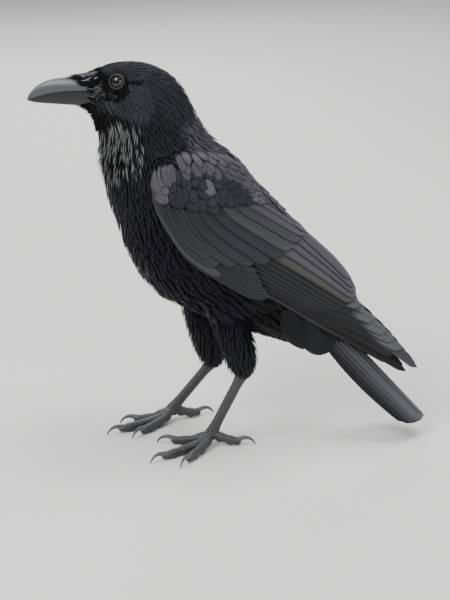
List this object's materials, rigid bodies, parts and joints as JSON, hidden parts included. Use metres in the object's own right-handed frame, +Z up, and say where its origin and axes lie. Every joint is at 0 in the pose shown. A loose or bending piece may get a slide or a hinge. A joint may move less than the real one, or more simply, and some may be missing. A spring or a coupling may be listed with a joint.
{
  "type": "standing crow animal model",
  "caption": "Life-size still model of a standing crow: wings folded along the back, head level and turned straight ahead, feet apart on the floor.",
  "frame": {"origin": "on the floor, under the middle of the bounding box; the bird's own midline lies about 13 mm to -X of it, because the left foot's toes turn out", "axes": "+Z up, the bill points along -Y, the bird's left side is +X"},
  "size_m": [0.1274, 0.339, 0.3333],
  "materials": {
    "plumage": "close black feathers with a soft satin gloss",
    "wing_feathers": "smooth grey-black vanes with darker edges and shafts",
    "tail_feathers": "smooth grey-black vanes",
    "bristles": "stiff matt black bristles",
    "bill": "grey-black horn, satin, with fine lines along it",
    "leg_skin": "dark grey scales, matt with worn light edges",
    "claw": "polished black horn",
    "eye": "wet dark brown, clear cornea"
  },
  "bodies": {
    "root": {"belly": "plumage", "bill_lower": "bill", "bill_upper": "bill", "breast": "plumage", "claw_hind_left": "claw", "claw_hind_right": "claw", "claw_inner_left": "claw", "claw_inner_right": "claw", "claw_middle_left": "claw", "claw_middle_right": "claw", "claw_outer_left": "claw", "claw_outer_right": "claw", "eye_left": "eye", "eye_right": "eye", "head": "plumage", "nasal_bristles": "bristles", "neck": "plumage", "rump": "plumage", "scapulars_left": "wing_feathers", "scapulars_right": "wing_feathers", "tail": "tail_feathers", "tarsus_left": "leg_skin", "tarsus_right": "leg_skin", "thigh_left": "plumage", "thigh_right": "plumage", "toe_hind_left": "leg_skin", "toe_hind_right": "leg_skin", "toe_inner_left": "leg_skin", "toe_inner_right": "leg_skin", "toe_middle_left": "leg_skin", "toe_middle_right": "leg_skin", "toe_outer_left": "leg_skin", "toe_outer_right": "leg_skin", "wing_coverts_left": "wing_feathers", "wing_coverts_right": "wing_feathers", "wing_primaries_left": "wing_feathers", "wing_primaries_right": "wing_feathers", "wing_secondaries_left": "wing_feathers", "wing_secondaries_right": "wing_feathers"}
  },
  "joints": []
}
